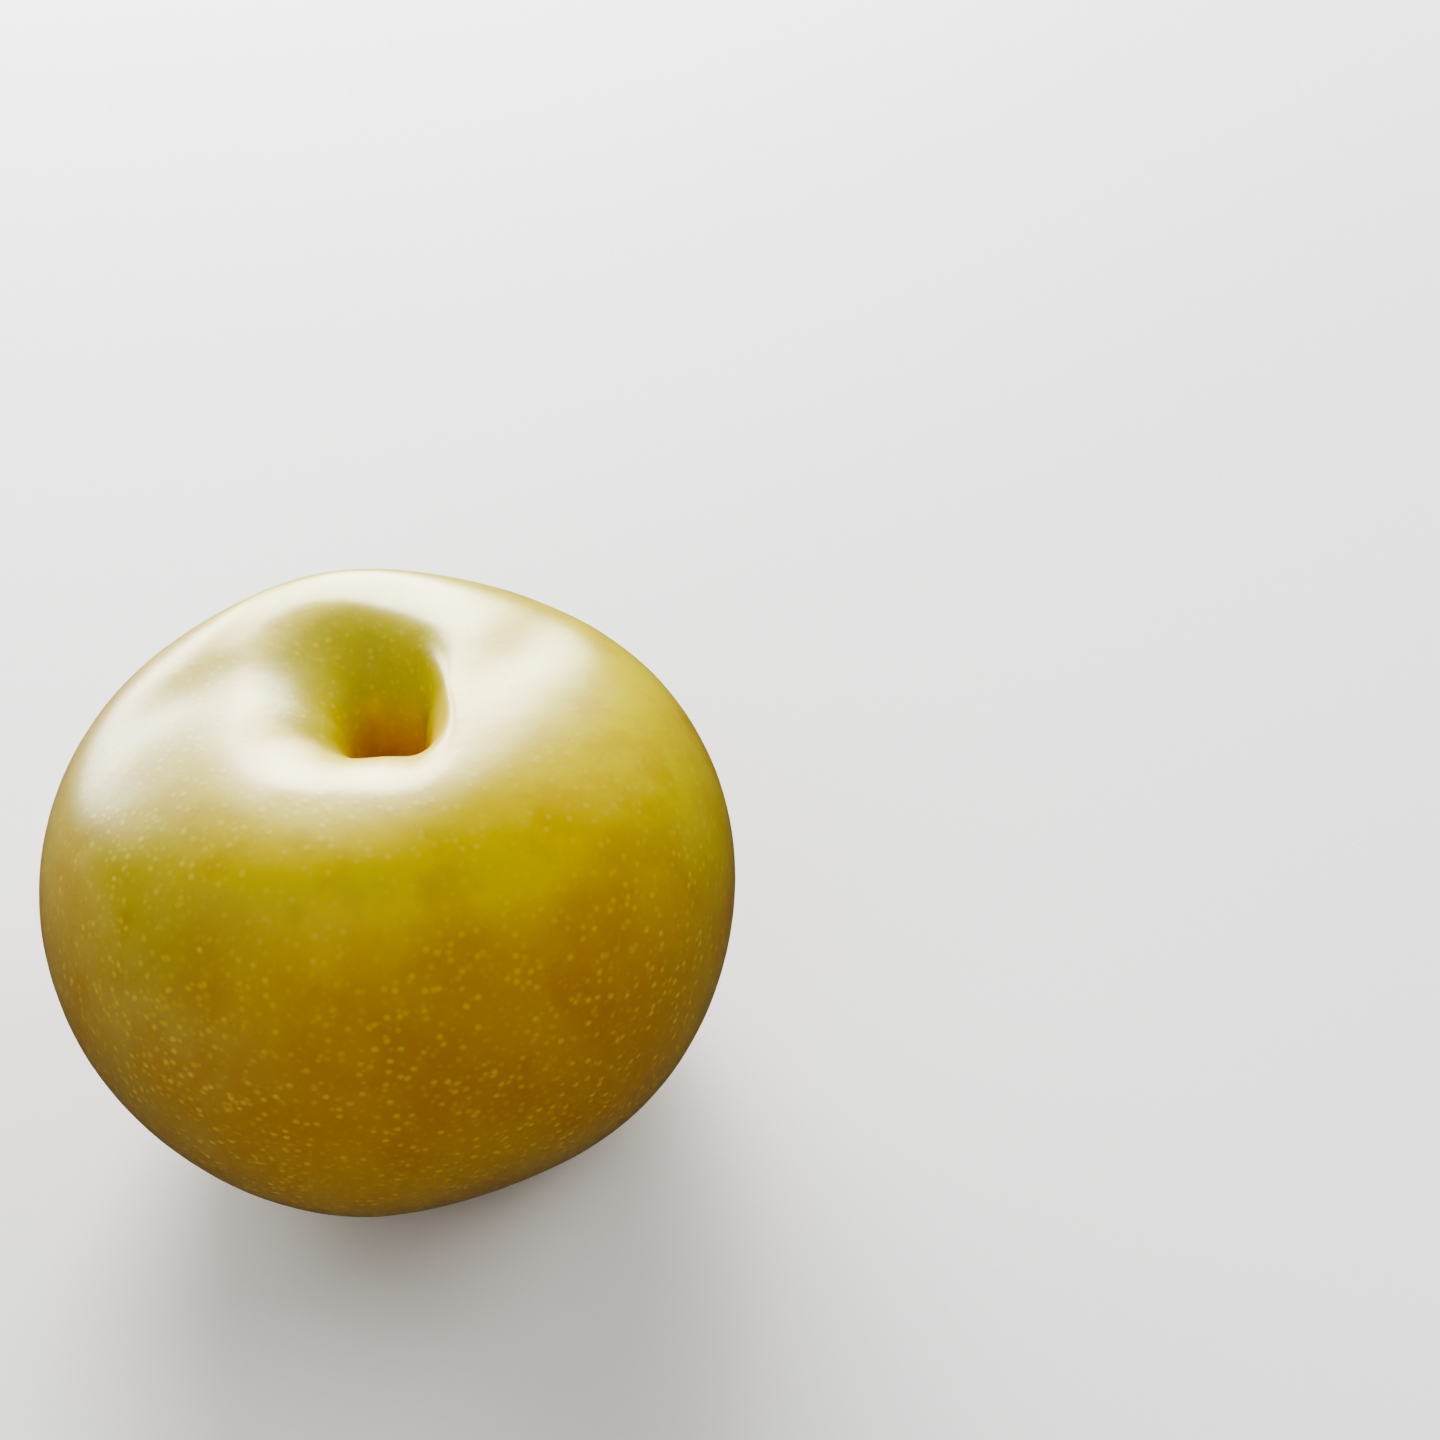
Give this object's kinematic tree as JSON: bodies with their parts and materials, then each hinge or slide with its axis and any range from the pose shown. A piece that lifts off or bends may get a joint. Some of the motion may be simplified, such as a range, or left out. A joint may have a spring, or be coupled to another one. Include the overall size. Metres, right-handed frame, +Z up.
{
  "type": "pear",
  "caption": "Round Asian pear without its stalk: deep stalk cavity on top, shallow calyx basin and a flat resting ring below.",
  "frame": {"origin": "middle of the fruit's footprint, on the surface that it rests on", "axes": "+Z up, out of the stalk cavity; +X to the side on which the fruit is a little wider; -Y is the side that the near lip of the cavity leans to"},
  "size_m": [0.0938, 0.0882, 0.0776],
  "materials": {
    "skin": "satin"
  },
  "bodies": {
    "root": {"pear": "skin"}
  },
  "joints": []
}
